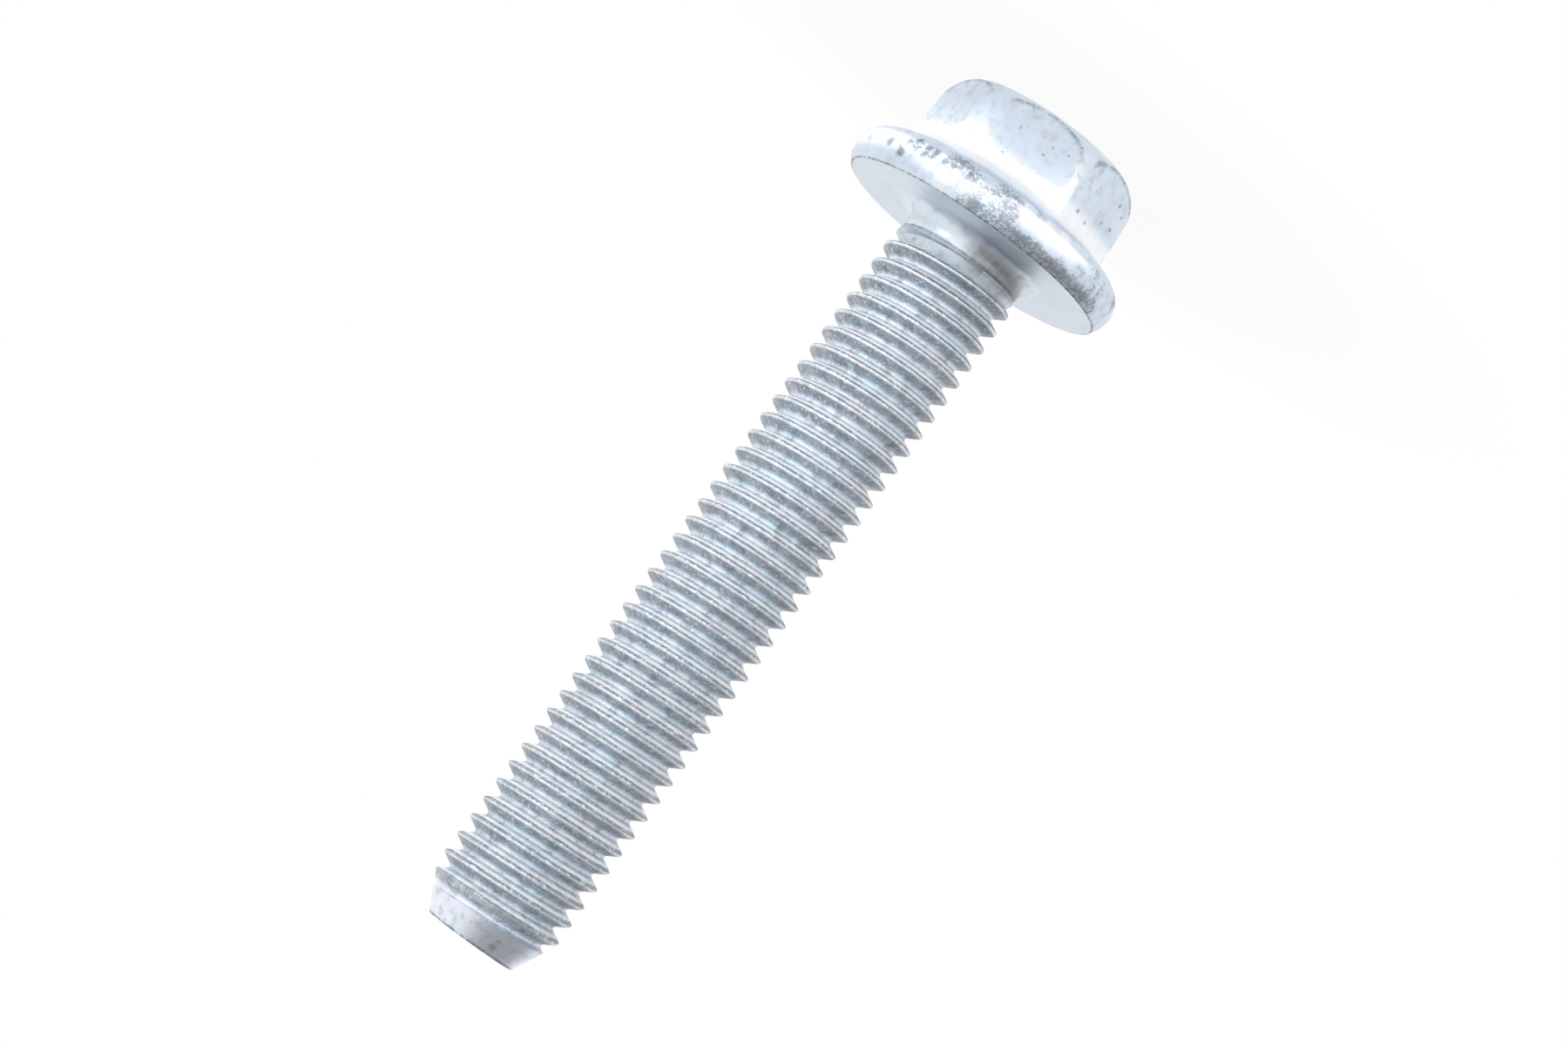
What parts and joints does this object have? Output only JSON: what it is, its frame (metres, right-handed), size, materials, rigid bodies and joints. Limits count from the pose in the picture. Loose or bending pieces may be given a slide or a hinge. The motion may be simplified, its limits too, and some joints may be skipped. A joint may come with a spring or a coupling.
{
  "type": "hex flange bolt",
  "caption": "Hexagon head bolt with a round flange under the head, a fully threaded shank and a conical point, for clamping parts without a loose washer.",
  "frame": {"origin": "centre of the top of the head, on which the bolt stands", "axes": "+Z along the shank from the head to the point, +X square to one flat of the hexagon"},
  "size_m": [0.0256, 0.0256, 0.0814],
  "materials": {
    "zinc_coated_steel": "satin zinc coating with small dark pits and rubbed edges"
  },
  "bodies": {
    "root": {"bolt": "zinc_coated_steel"}
  },
  "joints": []
}
